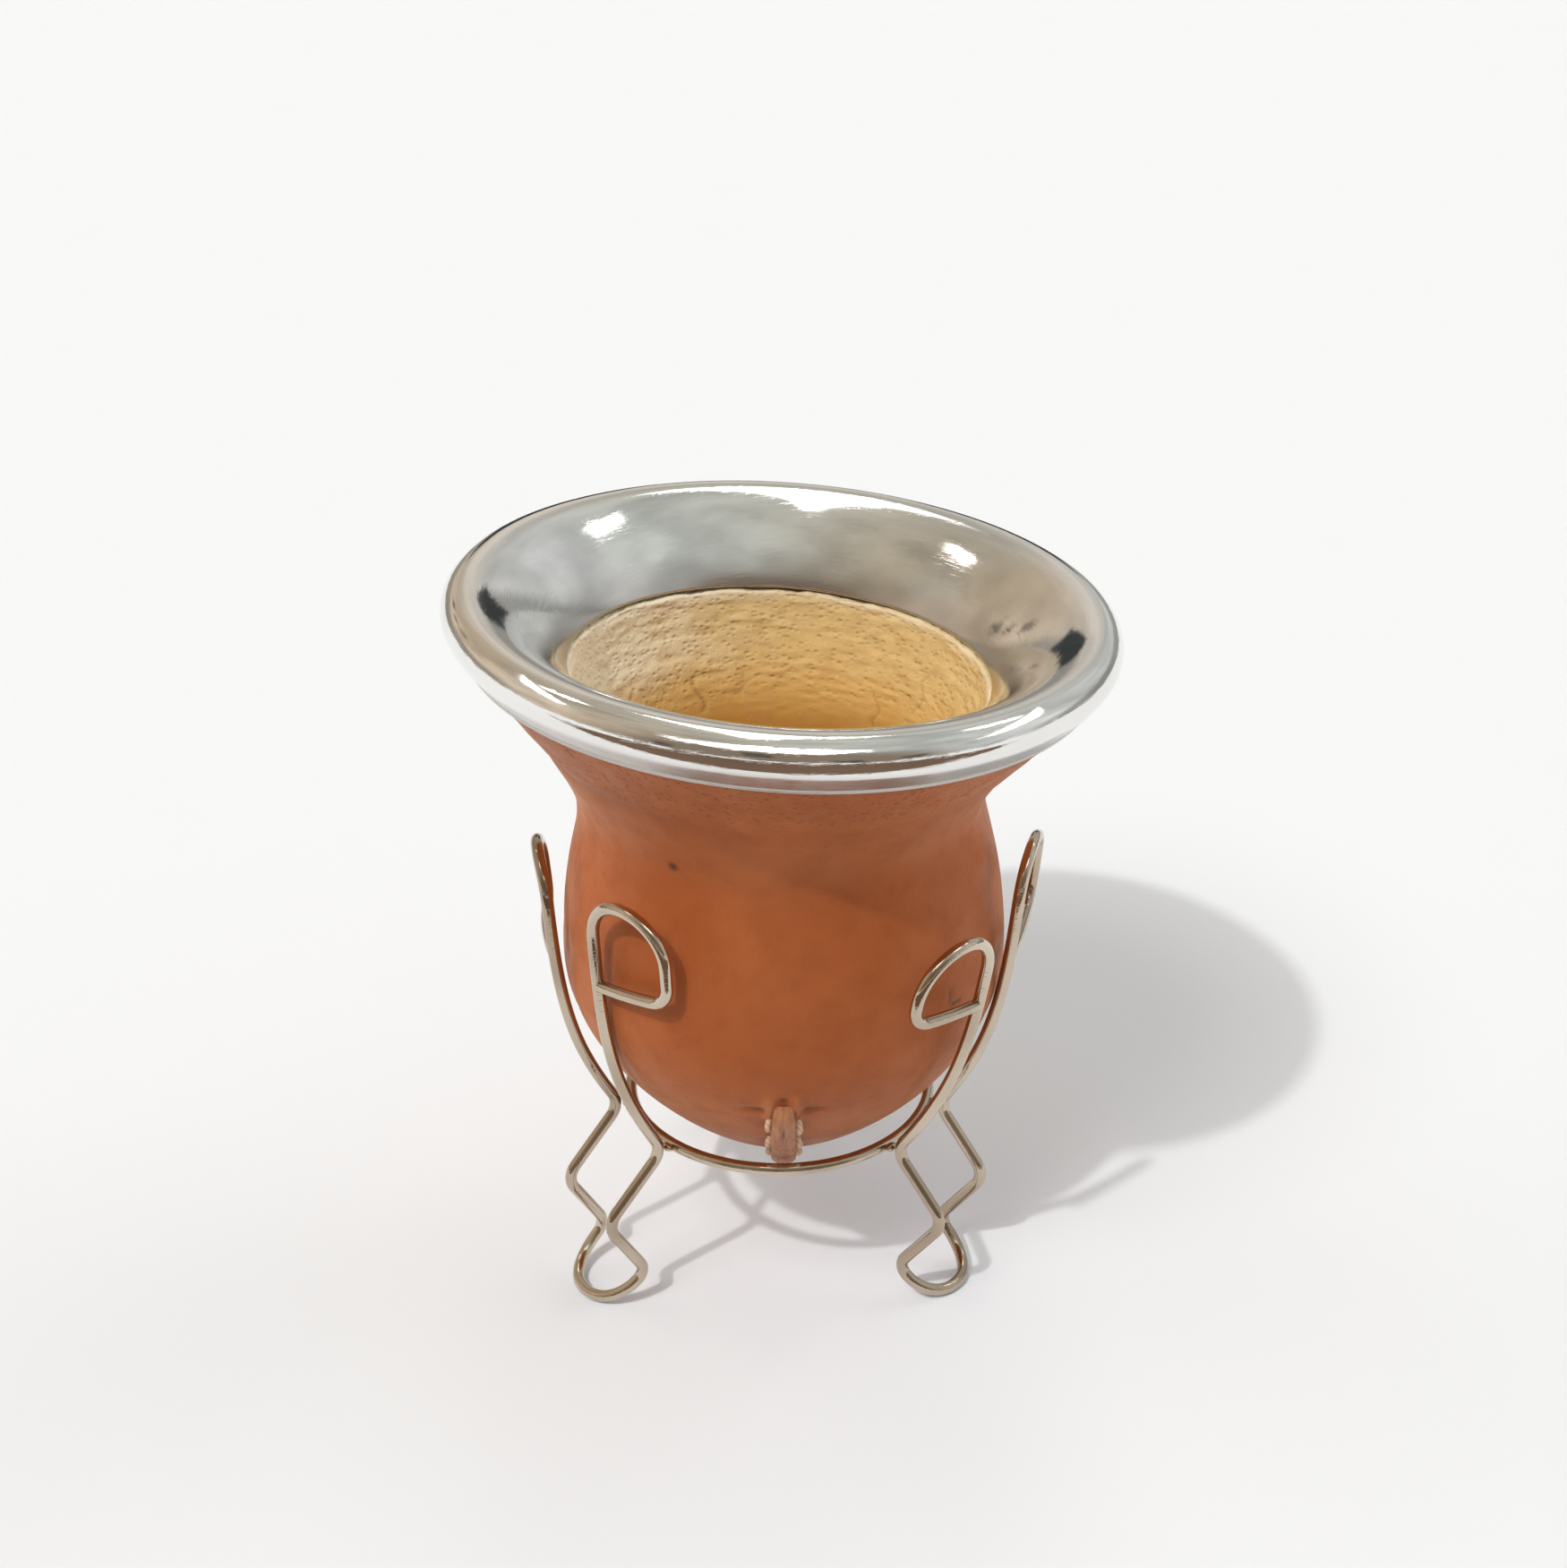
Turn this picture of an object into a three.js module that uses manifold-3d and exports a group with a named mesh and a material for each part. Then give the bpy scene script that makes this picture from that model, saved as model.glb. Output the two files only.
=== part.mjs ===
// A leather-covered drinking gourd with a flared metal rim, standing in a three-legged wire stand.
// Millimetres, +Z up, the floor at z = 0 under the middle of the rim, the front towards -Y.

import * as THREE from 'three';
import { mergeVertices } from 'three/addons/utils/BufferGeometryUtils.js';
import Module from 'manifold-3d';

// Rim: a rounded edge that runs on into a trumpet-shaped mouth, and a short skirt over the leather
const RIM_DIAMETER = 90;
const BEAD_RADIUS = 3;
const RIM_HEIGHT = 99.2;
const RIM_TILT = THREE.MathUtils.degToRad(3.8);
const SKIRT_ANGLE = THREE.MathUtils.degToRad(40);
const SKIRT_LENGTH = 4;
const SKIRT_THICKNESS = 0.6;
const HEM_RADIUS = 0.4;
const HEM_TURN = THREE.MathUtils.degToRad(162);
const HEM_STEP = 0.88;
const POCKET_RISE = 3.6;
const METAL_THICKNESS = 0.9;
const THROAT_RADIUS = 28.4;
const FUNNEL_HANDLES = { edge: 4.5, throat: 4.5 };
const UNDERSIDE_HANDLE = { radius: 30.2, height: 96 };
const UNDERSIDE_END = { radius: 39.4, height: 97.5 };

// Leather cover: radii and heights of its outer face
const COVER_THICKNESS = 1.6;
const COVER_SINK = 0.25;
const COVER_BASE_HEIGHT = 15.5;
const BELLY_RADIUS = 30.95;
const BELLY_HEIGHT = 49.5;
const NECK_RADIUS = 28;
const NECK_HEIGHT = 73;
const TONGUE_DEPTH = 1;
const TONGUE_LENGTH = 1.9;
const BASE_HANDLE = { radius: 13.6, height: 20.5 };
const BELLY_HANDLES = { below: 36, above: 64 };
const NECK_HANDLES = { below: 67.5, above: 78.2 };
const FLARE_HANDLE = 12;

// Seam under the base: the leather pinched into a keel that runs from front to back
const SEAM_WIDTH = 3.4;
const SEAM_HEIGHT = 2.2;
const SEAM_ROOT = 0.8;
const SEAM_TOP = 40.5;
const SEAM_ROUNDING = 4;

// Gourd: lip and inside
const LIP_DROP = 8.4;
const LIP_RADIUS = 28;
const LIP_ROUNDING = 0.5;
const INSIDE_NECK_RADIUS = 22.8;
const INSIDE_NECK_HEIGHT = 74;
const INSIDE_BELLY_RADIUS = 25.6;
const INSIDE_BELLY_HEIGHT = 53;
const INSIDE_BASE_HEIGHT = 23.5;
const INSIDE_MOUTH_HANDLE = { radius: 27.4, height: 85 };
const INSIDE_NECK_HANDLES = { below: 68, above: 79.5 };
const INSIDE_BELLY_HANDLES = { below: 38, above: 60 };
const INSIDE_BASE_HANDLE = 12;
const SHELF_START = { radius: 39, height: 96.6 };
const SHELF_HANDLE = { radius: 31.2, height: 94.9 };
const BEND_START = 68;
const BEND_END = 86;

// Stand: bent wire
const WIRE_RADIUS = 0.85;
const RING_RADIUS = 21.65;
const RING_HEIGHT = 25.3;
const STAND_SHIFT = -0.6;
const LEG_HALF_WIDTH = 6.6;
const CRADLE_SPREAD = 8.4;
const CRADLE_RISE = 16.5;
const EYELET_WIDTH = 12.8;
const EYELET_CORNER = 3.2;
const EYELET_CROWN = 6.3;
const EYELET_ARM_FALL = 1.8;
const OUTER_KNEE = { radius: 31.1, height: 15.35, rounding: 3.2 };
const INNER_KNEE = { radius: 24.5, height: 5.5, rounding: 2.4 };
const WELD_ROUNDING = 3.2;
const TOE_RADIUS = 31.4;
const TOE_FALL = 1.5;

// The legs differ a little, as hand-bent wire does: splay moves the toe out, and each of the two
// uprights has its own outward slope and heights to the top and the arm of its eyelet; flare is how
// far the eyelet stays flat (1) or wraps round with the gourd (0)
const LEGS = [
  {
    name: 'stand_leg_left',
    azimuth: -60,
    splay: 1.5,
    uprights: [
      { lean: 0.035, flare: 0, top: 67, arm: 55 },
      { lean: 0.02, flare: 0.3, top: 69, arm: 57 },
    ],
  },
  {
    name: 'stand_leg_right',
    azimuth: 60,
    splay: -1.5,
    uprights: [
      { lean: 0.125, flare: 0.3, top: 65, arm: 55 },
      { lean: 0.065, flare: 0.7, top: 68, arm: 55 },
    ],
  },
  {
    name: 'stand_leg_back',
    azimuth: 180,
    splay: 0,
    uprights: [
      { lean: 0.05, flare: 0.3, top: 67.5, arm: 55 },
      { lean: 0.05, flare: 0.3, top: 67.5, arm: 55 },
    ],
  },
];

// Clearance between pieces that touch
const GAP = 0.3;

// Facets
const RIM_SEGMENTS = 48;
const RIM_STEPS = { hem: 4, bead: 7, funnel: 10, underside: 4 };
const COVER_SEGMENTS = 42;
const COVER_STEPS = { outside: 12, inside: 8, seam: 16 };
const GOURD_SEGMENTS = 36;
const GOURD_STEPS = { shelf: 3, lip: 2, mouth: 4, shoulder: 3, bowl: 6 };
const RING_SEGMENTS = 40;
const WIRE_SIDES = 8;
const CORNER_STEPS = 4;
const UPRIGHT_STEPS = 8;
const TOE_STEPS = 10;
const MERGE_DISTANCE = 1e-4;

const MATERIALS = {
  metal: { color: 0xc9c8c4, roughness: 0.12, metalness: 1 },
  leather: { color: 0xa85a34, roughness: 0.6, metalness: 0 },
  gourd: { color: 0xdcb878, roughness: 0.8, metalness: 0 },
  wire: { color: 0xbfb29c, roughness: 0.2, metalness: 1 },
};

const wasm = await Module();
wasm.setup();

const vec2 = (r, z) => new THREE.Vector2(r, z);
const at = ({ radius, height }) => vec2(radius, height);
const beadCentre = vec2(RIM_DIAMETER / 2 - BEAD_RADIUS, RIM_HEIGHT);
const slopeUp = vec2(Math.sin(SKIRT_ANGLE), Math.cos(SKIRT_ANGLE));
const slopeOut = vec2(Math.cos(SKIRT_ANGLE), -Math.sin(SKIRT_ANGLE));
const lipHeight = RIM_HEIGHT - LIP_DROP;

// A point of the flare under the rim: along its slope from the skirt's lower edge, and into its wall
function flarePoint(along, depth) {
  return beadCentre
    .clone()
    .addScaledVector(slopeOut, BEAD_RADIUS - depth)
    .addScaledVector(slopeUp, along - SKIRT_LENGTH);
}

function cubic(start, control1, control2, end, steps) {
  return new THREE.CubicBezierCurve(start, control1, control2, end).getPoints(steps);
}

function quadratic(start, control, end, steps) {
  return new THREE.QuadraticBezierCurve(start, control, end).getPoints(steps);
}

function arc(centre, radius, fromAngle, toAngle, steps) {
  const points = [];
  for (let i = 0; i <= steps; i += 1) {
    const angle = THREE.MathUtils.lerp(fromAngle, toAngle, i / steps);
    points.push(vec2(centre.x + radius * Math.cos(angle), centre.y + radius * Math.sin(angle)));
  }
  return points;
}

// The leather's outer face from the base on the axis up to the skirt
function coverOutline(steps) {
  const base = vec2(0, COVER_BASE_HEIGHT);
  const belly = vec2(BELLY_RADIUS, BELLY_HEIGHT);
  const neck = vec2(NECK_RADIUS, NECK_HEIGHT);
  const top = flarePoint(-GAP, COVER_SINK);
  const bellyBelow = vec2(BELLY_RADIUS, BELLY_HANDLES.below);
  const bellyAbove = vec2(BELLY_RADIUS, BELLY_HANDLES.above);
  const neckBelow = vec2(NECK_RADIUS, NECK_HANDLES.below);
  const neckAbove = vec2(NECK_RADIUS, NECK_HANDLES.above);
  const body = cubic(base, at(BASE_HANDLE), bellyBelow, belly, steps);
  const shoulder = cubic(belly, bellyAbove, neckBelow, neck, steps / 2);
  const flare = cubic(neck, neckAbove, flarePoint(-FLARE_HANDLE, COVER_SINK), top, steps / 2);
  return [...body, ...shoulder.slice(1), ...flare.slice(1)];
}

// The same outline moved along its normals; the first point stays on the axis
function offsetOutline(outline, distance) {
  return outline.map((point, i) => {
    const before = outline[Math.max(i - 1, 0)];
    const after = outline[Math.min(i + 1, outline.length - 1)];
    const along = after.clone().sub(before).normalize();
    const moved = point.clone().addScaledVector(vec2(along.y, -along.x), distance);
    return i === 0 ? vec2(0, point.y - distance) : moved;
  });
}

function lathe(profile, segments) {
  const geometry = new THREE.LatheGeometry(profile, segments);
  geometry.rotateX(Math.PI / 2);
  return geometry;
}

// Bends the neck so that everything above it leans with the rim
function leanWithRim(geometry) {
  const position = geometry.attributes.position;
  for (let i = 0; i < position.count; i += 1) {
    const x = position.getX(i);
    const rise = position.getZ(i) - RIM_HEIGHT;
    const angle = RIM_TILT * THREE.MathUtils.smoothstep(position.getZ(i), BEND_START, BEND_END);
    position.setX(i, x * Math.cos(angle) + rise * Math.sin(angle));
    position.setZ(i, RIM_HEIGHT - x * Math.sin(angle) + rise * Math.cos(angle));
  }
  return geometry;
}

function toSolid(geometry) {
  const bare = geometry.index ? geometry.toNonIndexed() : geometry.clone();
  bare.deleteAttribute('normal');
  bare.deleteAttribute('uv');
  const merged = mergeVertices(bare, MERGE_DISTANCE);
  const vertProperties = new Float32Array(merged.attributes.position.array);
  const triVerts = new Uint32Array(merged.index.array);
  return new wasm.Manifold(new wasm.Mesh({ numProp: 3, vertProperties, triVerts }));
}

function toGeometry(solid) {
  const mesh = solid.getMesh();
  const geometry = new THREE.BufferGeometry();
  geometry.setAttribute('position', new THREE.BufferAttribute(new Float32Array(mesh.vertProperties), 3));
  geometry.setIndex(new THREE.BufferAttribute(new Uint32Array(mesh.triVerts), 1));
  geometry.computeVertexNormals();
  return geometry;
}

function makeMesh(name, geometry, material) {
  const mesh = new THREE.Mesh(geometry, new THREE.MeshStandardMaterial(MATERIALS[material]));
  mesh.name = name;
  return mesh;
}

// Rim, in its own frame with the middle of the rolled edge at the origin
function makeRim() {
  const throat = vec2(THROAT_RADIUS, lipHeight + GAP);
  const hemCentre = flarePoint(HEM_RADIUS, SKIRT_THICKNESS - HEM_RADIUS);
  const hem = arc(hemCentre, HEM_RADIUS, -SKIRT_ANGLE - HEM_TURN, -SKIRT_ANGLE, RIM_STEPS.hem);
  const bead = arc(beadCentre, BEAD_RADIUS, -SKIRT_ANGLE, Math.PI / 2, RIM_STEPS.bead);
  const crown = bead[bead.length - 1];
  const crownHandle = vec2(crown.x - FUNNEL_HANDLES.edge, crown.y);
  const throatHandle = vec2(THROAT_RADIUS, throat.y + FUNNEL_HANDLES.throat);
  const funnel = cubic(crown, crownHandle, throatHandle, throat, RIM_STEPS.funnel);
  const throatBack = vec2(THROAT_RADIUS + METAL_THICKNESS, throat.y);
  const underside = quadratic(throatBack, at(UNDERSIDE_HANDLE), at(UNDERSIDE_END), RIM_STEPS.underside);
  const pocket = flarePoint(POCKET_RISE, SKIRT_THICKNESS);
  const profile = [...hem, flarePoint(HEM_STEP, 0), ...bead, ...funnel.slice(1), ...underside];
  profile.push(pocket, hem[0].clone());
  const lowered = profile.map((point) => vec2(point.x, point.y - RIM_HEIGHT));
  const rim = makeMesh('rim', lathe(lowered, RIM_SEGMENTS), 'metal');
  rim.position.z = RIM_HEIGHT;
  rim.rotation.y = RIM_TILT;
  return rim;
}

// Keel of pinched leather: a plate that follows the cover's outline from front to back
function makeSeam() {
  const outline = coverOutline(COVER_STEPS.seam).filter((point) => point.y < SEAM_TOP);
  const heights = outline.map((point) => {
    const below = THREE.MathUtils.clamp((SEAM_TOP - point.y) / SEAM_ROUNDING, 0, 1);
    return SEAM_HEIGHT * Math.sqrt(1 - (1 - below) ** 2);
  });
  const outer = outline.map((point, i) => offsetOutline(outline, heights[i])[i]);
  const inner = offsetOutline(outline, -SEAM_ROOT);
  const mirrored = (points) => points.slice(1).map((point) => vec2(-point.x, point.y));
  const edge = [...outer.slice().reverse(), ...mirrored(outer)];
  const root = [...inner.slice().reverse(), ...mirrored(inner)];
  const shape = new THREE.Shape([...edge, ...root.reverse()]);
  const plate = new THREE.ExtrudeGeometry(shape, { depth: SEAM_WIDTH, bevelEnabled: false });
  plate.translate(0, 0, -SEAM_WIDTH / 2);
  plate.rotateX(Math.PI / 2);
  plate.rotateZ(Math.PI / 2);
  return plate;
}

function makeCover() {
  const outer = coverOutline(COVER_STEPS.outside);
  const tongue = [
    flarePoint(-GAP, TONGUE_DEPTH),
    flarePoint(TONGUE_LENGTH, TONGUE_DEPTH),
    flarePoint(TONGUE_LENGTH, COVER_SINK + COVER_THICKNESS),
  ];
  const inner = offsetOutline(coverOutline(COVER_STEPS.inside), -COVER_THICKNESS).reverse();
  const shell = leanWithRim(lathe([...outer, ...tongue, ...inner], COVER_SEGMENTS));
  const solid = toSolid(shell).add(toSolid(makeSeam()));
  return makeMesh('leather_cover', toGeometry(solid), 'leather');
}

function makeGourd() {
  const outer = offsetOutline(coverOutline(COVER_STEPS.inside), -COVER_THICKNESS - GAP);
  const shelfOuter = vec2(THROAT_RADIUS + METAL_THICKNESS + 2 * GAP, lipHeight);
  const underRim = quadratic(at(SHELF_START), at(SHELF_HANDLE), shelfOuter, GOURD_STEPS.shelf);
  const lipCentre = vec2(LIP_RADIUS + LIP_ROUNDING, lipHeight - LIP_ROUNDING);
  const lip = arc(lipCentre, LIP_ROUNDING, Math.PI / 2, Math.PI, GOURD_STEPS.lip);
  const neck = vec2(INSIDE_NECK_RADIUS, INSIDE_NECK_HEIGHT);
  const neckAbove = vec2(INSIDE_NECK_RADIUS, INSIDE_NECK_HANDLES.above);
  const neckBelow = vec2(INSIDE_NECK_RADIUS, INSIDE_NECK_HANDLES.below);
  const belly = vec2(INSIDE_BELLY_RADIUS, INSIDE_BELLY_HEIGHT);
  const bellyAbove = vec2(INSIDE_BELLY_RADIUS, INSIDE_BELLY_HANDLES.above);
  const bellyBelow = vec2(INSIDE_BELLY_RADIUS, INSIDE_BELLY_HANDLES.below);
  const base = vec2(0, INSIDE_BASE_HEIGHT);
  const baseHandle = vec2(INSIDE_BASE_HANDLE, INSIDE_BASE_HEIGHT);
  const mouth = cubic(lip[lip.length - 1], at(INSIDE_MOUTH_HANDLE), neckAbove, neck, GOURD_STEPS.mouth);
  const shoulder = cubic(neck, neckBelow, bellyAbove, belly, GOURD_STEPS.shoulder);
  const bowl = cubic(belly, bellyBelow, baseHandle, base, GOURD_STEPS.bowl);
  const profile = [...outer, ...underRim, ...lip, ...mouth.slice(1), ...shoulder.slice(1), ...bowl.slice(1)];
  return makeMesh('gourd', leanWithRim(lathe(profile, GOURD_SEGMENTS)), 'gourd');
}

// A run of straight pieces with each corner replaced by an arc of its rounding
function roundCorners(corners) {
  const points = [];
  corners.forEach(({ point, rounding }, i) => {
    if (!rounding) {
      points.push(point);
      return;
    }
    const back = corners[i - 1].point.clone().sub(point).normalize();
    const ahead = corners[i + 1].point.clone().sub(point).normalize();
    const half = back.angleTo(ahead) / 2;
    const centre = back.clone().add(ahead).normalize().multiplyScalar(rounding / Math.sin(half)).add(point);
    const from = back.multiplyScalar(rounding / Math.tan(half)).add(point).sub(centre);
    const to = ahead.multiplyScalar(rounding / Math.tan(half)).add(point).sub(centre);
    const axis = from.clone().cross(to).normalize();
    for (let k = 0; k <= CORNER_STEPS; k += 1) {
      const turn = (Math.PI - 2 * half) * (k / CORNER_STEPS);
      points.push(from.clone().applyAxisAngle(axis, turn).add(centre));
    }
  });
  return points;
}

// A path through points, with a step of the sweep at each of them
class PointPath extends THREE.Curve {
  constructor(points) {
    super();
    this.points = points;
  }

  getPoint(t, target = new THREE.Vector3()) {
    const place = THREE.MathUtils.clamp(t, 0, 1) * (this.points.length - 1);
    const index = Math.min(Math.floor(place), this.points.length - 2);
    return target.lerpVectors(this.points[index], this.points[index + 1], place - index);
  }

  getPointAt(u, target) {
    return this.getPoint(u, target);
  }

  getTangentAt(u, target) {
    return this.getTangent(u, target);
  }
}

function wireAlong(points) {
  const section = [];
  for (let i = 0; i < WIRE_SIDES; i += 1) {
    const angle = (2 * Math.PI * i) / WIRE_SIDES;
    section.push(vec2(WIRE_RADIUS * Math.cos(angle), WIRE_RADIUS * Math.sin(angle)));
  }
  const extrudePath = new PointPath(points);
  return new THREE.ExtrudeGeometry(new THREE.Shape(section), { steps: points.length - 1, extrudePath });
}

// One half of a leg's wire in the leg's own frame (outward, sideways, up), from the free end of the
// eyelet over its top and down the upright to the inner knee
function halfLeg(leg, { lean, flare, top, arm }) {
  const weld = RING_RADIUS + 2 * WIRE_RADIUS + GAP;
  const distanceAt = (height) => {
    const rise = height - RING_HEIGHT;
    return weld + CRADLE_SPREAD * Math.tanh(rise / CRADLE_RISE) + lean * rise;
  };
  const flat = (along, height, rounding) => ({ point: new THREE.Vector3(along, height, 0), rounding });
  const straightTop = top - EYELET_WIDTH / 2;
  const unrolled = [
    flat(WIRE_RADIUS + GAP, arm - EYELET_ARM_FALL),
    flat(EYELET_WIDTH, arm, EYELET_CORNER),
    flat(EYELET_WIDTH, top, Math.min(EYELET_CROWN, top - arm - EYELET_CORNER)),
    flat(0, top, EYELET_CROWN),
  ];
  for (let i = 1; i < UPRIGHT_STEPS; i += 1) {
    unrolled.push(flat(0, THREE.MathUtils.lerp(straightTop, RING_HEIGHT, i / UPRIGHT_STEPS)));
  }
  const wrapped = roundCorners(unrolled).map((point) => {
    const cradle = distanceAt(point.y);
    const angle = Math.asin(LEG_HALF_WIDTH / cradle) + point.x / cradle;
    const distance = cradle + (flare * point.x ** 2) / (2 * cradle);
    return new THREE.Vector3(distance * Math.cos(angle), distance * Math.sin(angle), point.y);
  });
  const splayed = (radius, height) => {
    const outward = radius + leg.splay * (1 - height / RING_HEIGHT);
    return new THREE.Vector3(outward, LEG_HALF_WIDTH, height);
  };
  const weldRadius = Math.sqrt(weld ** 2 - LEG_HALF_WIDTH ** 2);
  const lower = roundCorners([
    { point: wrapped[wrapped.length - 1] },
    { point: splayed(weldRadius, RING_HEIGHT), rounding: WELD_ROUNDING },
    { point: splayed(OUTER_KNEE.radius, OUTER_KNEE.height), rounding: OUTER_KNEE.rounding },
    { point: splayed(INNER_KNEE.radius, INNER_KNEE.height), rounding: INNER_KNEE.rounding },
    { point: toePoint(leg, 1 / TOE_STEPS) },
  ]);
  return [...wrapped, ...lower.slice(1, -1)];
}

// The toe: half a loop from one inner knee to the other that falls to the floor at its tip
function toePoint(leg, share) {
  const turn = Math.PI * (0.5 - share);
  const drop = (1 - Math.cos(turn)) ** TOE_FALL;
  const height = THREE.MathUtils.lerp(WIRE_RADIUS, INNER_KNEE.height, drop);
  const reach = TOE_RADIUS - INNER_KNEE.radius;
  const outward = INNER_KNEE.radius + reach * Math.cos(turn) + leg.splay * (1 - height / RING_HEIGHT);
  return new THREE.Vector3(outward, LEG_HALF_WIDTH * Math.sin(turn), height);
}

function makeLeg(leg) {
  const mirrored = (point) => new THREE.Vector3(point.x, -point.y, point.z);
  const points = halfLeg(leg, leg.uprights[1]);
  for (let i = 1; i < TOE_STEPS; i += 1) {
    points.push(toePoint(leg, i / TOE_STEPS));
  }
  points.push(...halfLeg(leg, leg.uprights[0]).reverse().map(mirrored));
  const mesh = makeMesh(leg.name, wireAlong(points), 'wire');
  mesh.rotation.z = THREE.MathUtils.degToRad(leg.azimuth - 90);
  return mesh;
}

function makeStand() {
  const stand = new THREE.Group();
  const torus = new THREE.TorusGeometry(RING_RADIUS, WIRE_RADIUS, WIRE_SIDES, RING_SEGMENTS);
  const ring = makeMesh('stand_ring', torus, 'wire');
  ring.position.z = RING_HEIGHT;
  stand.add(ring, ...LEGS.map(makeLeg));
  stand.position.x = STAND_SHIFT;
  return stand;
}

const part = new THREE.Group();
part.add(makeGourd(), makeCover(), makeRim(), makeStand());

export default part;
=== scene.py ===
"""A leather-covered drinking gourd with a flared metal rim in a wire stand, dressed for rendering.

Shapes are worked out in millimetres and stored in metres, +Z up, the front towards -Y.
"""

import math

import bpy
import numpy as np
from mathutils import Euler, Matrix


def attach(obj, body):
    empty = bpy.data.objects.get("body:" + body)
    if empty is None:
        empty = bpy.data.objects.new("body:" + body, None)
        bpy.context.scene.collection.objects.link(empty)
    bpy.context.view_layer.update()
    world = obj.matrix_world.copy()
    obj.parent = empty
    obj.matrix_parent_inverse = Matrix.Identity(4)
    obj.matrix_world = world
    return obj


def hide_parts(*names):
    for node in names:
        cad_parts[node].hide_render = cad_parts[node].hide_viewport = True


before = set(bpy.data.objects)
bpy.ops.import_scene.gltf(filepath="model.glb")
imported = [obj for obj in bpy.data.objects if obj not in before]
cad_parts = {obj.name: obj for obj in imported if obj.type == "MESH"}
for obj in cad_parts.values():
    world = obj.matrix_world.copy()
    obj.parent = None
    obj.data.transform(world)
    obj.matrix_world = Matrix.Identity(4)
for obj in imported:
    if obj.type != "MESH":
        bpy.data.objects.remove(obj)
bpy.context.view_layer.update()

MM = 0.001
GAP = 0.3
SEGMENTS = 360
RIM_SEGMENTS = 320
AXIS_RADIUS = 0.02

# Whole numbers that the noise is stirred with
HASH_STEPS = np.array([374761393, 668265263, 974711])
HASH_MIX = 1274126177

# Rim: a rounded edge that runs on into a trumpet-shaped mouth, and a short skirt over the leather
RIM_HEIGHT = 99.2
RIM_TILT = math.radians(3.8)
BEAD_RADIUS = 3.0
BEAD_CENTRE = np.array([42.0, RIM_HEIGHT])
SKIRT_ANGLE = math.radians(40)
SKIRT_LENGTH = 4.0
SKIRT_THICKNESS = 0.6
SKIRT_STATIONS = (0.86, 0.95, 1.2, 2.0, 3.0, 3.7)
SLOPE_UP = np.array([math.sin(SKIRT_ANGLE), math.cos(SKIRT_ANGLE)])
SLOPE_OUT = np.array([math.cos(SKIRT_ANGLE), -math.sin(SKIRT_ANGLE)])
HEM_RADIUS = 0.4
HEM_SINK = 0.2
HEM_TURN = math.radians(162)
HEM_END = 0.5
POCKET_RISE = 3.6
THROAT_RADIUS = 28.4
THROAT_EDGE = 0.4
CROWN_HANDLE = (-4.5, 0.0)
THROAT_HANDLE = (1.9, 4.4)
UNDERSIDE_STEP = (0.8, 0.5)
UNDERSIDE_HANDLE = (30.2, 96.0)
UNDERSIDE_END = (39.4, 97.5)

# Leather cover: radii and heights of its outer face
COVER_THICKNESS = 1.6
COVER_SINK = 0.25
COVER_BASE = (0.0, 15.5)
BASE_HANDLE = (13.6, 20.5)
BELLY_RADIUS = 30.95
BELLY_HEIGHT = 49.5
BELLY_HANDLES = (36.0, 64.0)
NECK_RADIUS = 28.0
NECK_HEIGHT = 73.0
NECK_HANDLES = (67.5, 78.2)
FLARE_HANDLE = 12.0
TONGUE_DEPTH = 1.0
TONGUE_LENGTH = 1.9
CREASE_HEIGHT = 83.2
COLLAR_TOP = 93.4
BEND_START = 68.0
BEND_END = 86.0

# Seam under the base
SEAM_TOP = 40.5
SEAM_HALF_WIDTH = 1.7
SEAM_HEIGHT = 2.2
SEAM_ROOT = 0.8
SEAM_ROUNDING = 4.0
STITCH_PITCH = 7.6
FIRST_STITCH = 5.4
LAST_STITCH = 4.0

# Gourd: lip and inside
LIP_HEIGHT = RIM_HEIGHT - 8.4
LIP_RADIUS = 28.0
LIP_ROUNDING = 0.5
LIP_OUTSIDE = 29.9
SHELF_START = (39.0, 96.6)
SHELF_HANDLE = (31.2, 94.9)
MOUTH_HANDLE = (27.4, 85.0)
INSIDE_NECK_RADIUS = 22.8
INSIDE_NECK_HEIGHT = 74.0
INSIDE_NECK_HANDLES = (68.0, 79.5)
INSIDE_BELLY_RADIUS = 25.6
INSIDE_BELLY_HEIGHT = 53.0
INSIDE_BELLY_HANDLES = (38.0, 60.0)
INSIDE_BASE_HEIGHT = 23.5
INSIDE_BASE_HANDLE = 12.0

# Cracks of the inside: azimuth, lowest and highest point, width and depth
CRACKS = [
    (-151, 75.5, 79.5, 0.35, 0.6),
    (-167, 76.5, 80, 0.3, 0.5),
    (143.6, 73, 79, 0.35, 0.6),
    (125.4, 79, 84, 0.3, 0.5),
    (20, 74, 80, 0.35, 0.5),
    (-70, 75, 82, 0.3, 0.5),
    (75, 74, 79, 0.3, 0.5),
]

# Stand of bent wire
WIRE = 0.85
RING_RADIUS = 21.65
RING_HEIGHT = 25.3
STAND_SHIFT = np.array([-0.6, 0.0, 0.0])
LEG_HALF_WIDTH = 6.6
WELD = RING_RADIUS + 2 * WIRE + GAP
WELD_ROUNDING = 3.2
CRADLE_SPREAD = 8.4
CRADLE_RISE = 16.5
EYELET_WIDTH = 12.8
EYELET_CORNER = 3.2
EYELET_CROWN = 6.3
EYELET_ARM_END = 0.55
EYELET_ARM_FALL = 1.9
UPRIGHT_START = 6.4
UPRIGHT_STEPS = 24
WIRE_STEP = 1.6
OUTER_KNEE = (31.1, 15.35)
OUTER_KNEE_ROUNDING = 3.2
INNER_KNEE = (24.5, 5.5)
INNER_KNEE_ROUNDING = 2.4
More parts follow.
